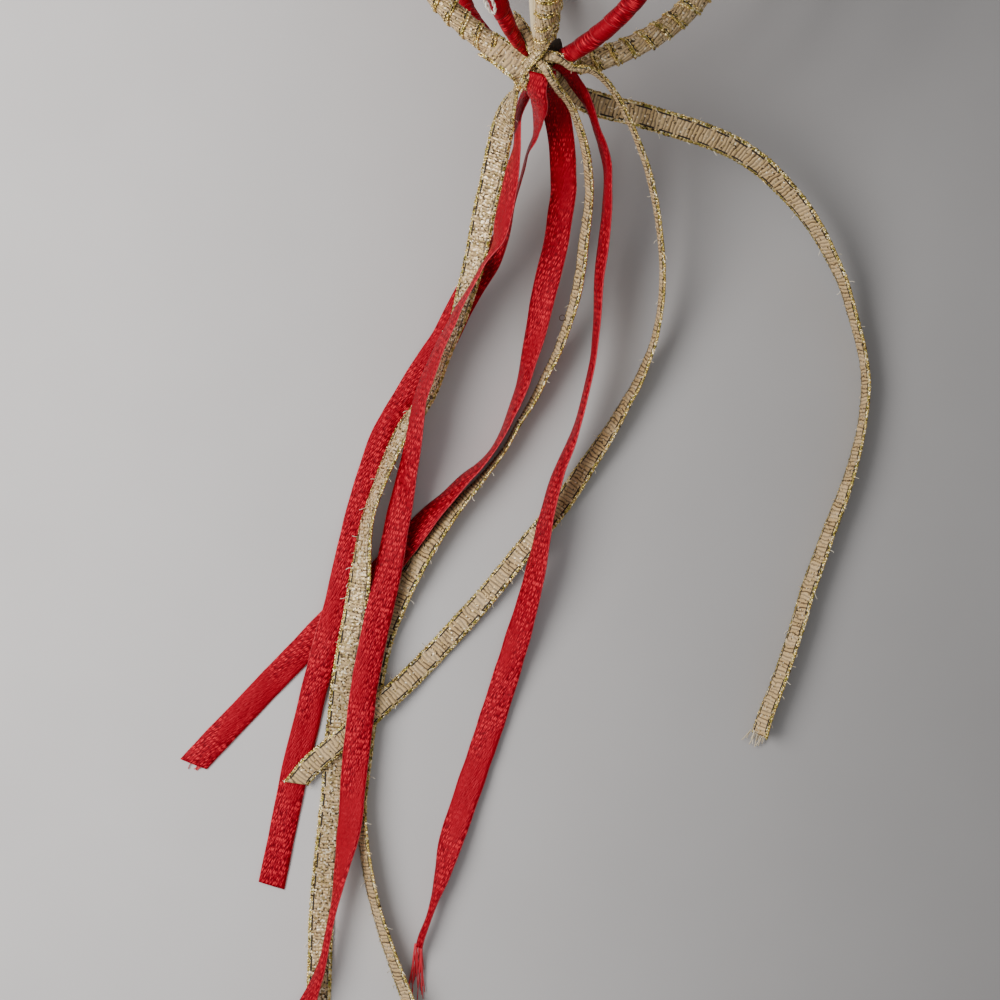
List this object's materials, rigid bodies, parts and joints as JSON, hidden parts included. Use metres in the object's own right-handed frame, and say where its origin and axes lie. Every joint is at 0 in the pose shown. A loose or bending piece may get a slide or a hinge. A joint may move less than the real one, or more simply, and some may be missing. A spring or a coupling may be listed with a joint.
{
  "type": "straw ornament",
  "caption": "Small open ball ornament of ribbon-wound ribs tied at both ends, with free ribbon ends spread from one knot and a thin hanging thread.",
  "frame": {"origin": "on the surface the ball lies on, under the centre of the ball", "axes": "+Y along the ball's axis towards the top knot, so the free ends spread towards -Y; +Z up from the surface; +X to the right of the free ends as seen from above with +Y up"},
  "size_m": [0.0689, 0.1526, 0.0371],
  "materials": {
    "gold_braid": "woven beige braid with gold metallic edges",
    "red_satin": "glossy satin ribbon",
    "cream_thread": "matte thread"
  },
  "bodies": {
    "root": {"gold_rib_top": "gold_braid", "gold_rib_right": "gold_braid", "gold_rib_bottom": "gold_braid", "gold_rib_left": "gold_braid", "red_rib_top_right": "red_satin", "red_rib_bottom_right": "red_satin", "red_rib_bottom_left": "red_satin", "red_rib_top_left": "red_satin", "bottom_knot": "gold_braid", "top_knot": "gold_braid", "hanging_thread_loop": "cream_thread", "gold_tail_left": "gold_braid", "gold_tail_middle": "gold_braid", "gold_tail_right": "gold_braid", "gold_tail_outer": "gold_braid", "red_tail_left": "red_satin", "red_tail_centre_left": "red_satin", "red_tail_centre": "red_satin", "red_tail_right": "red_satin"}
  },
  "joints": []
}
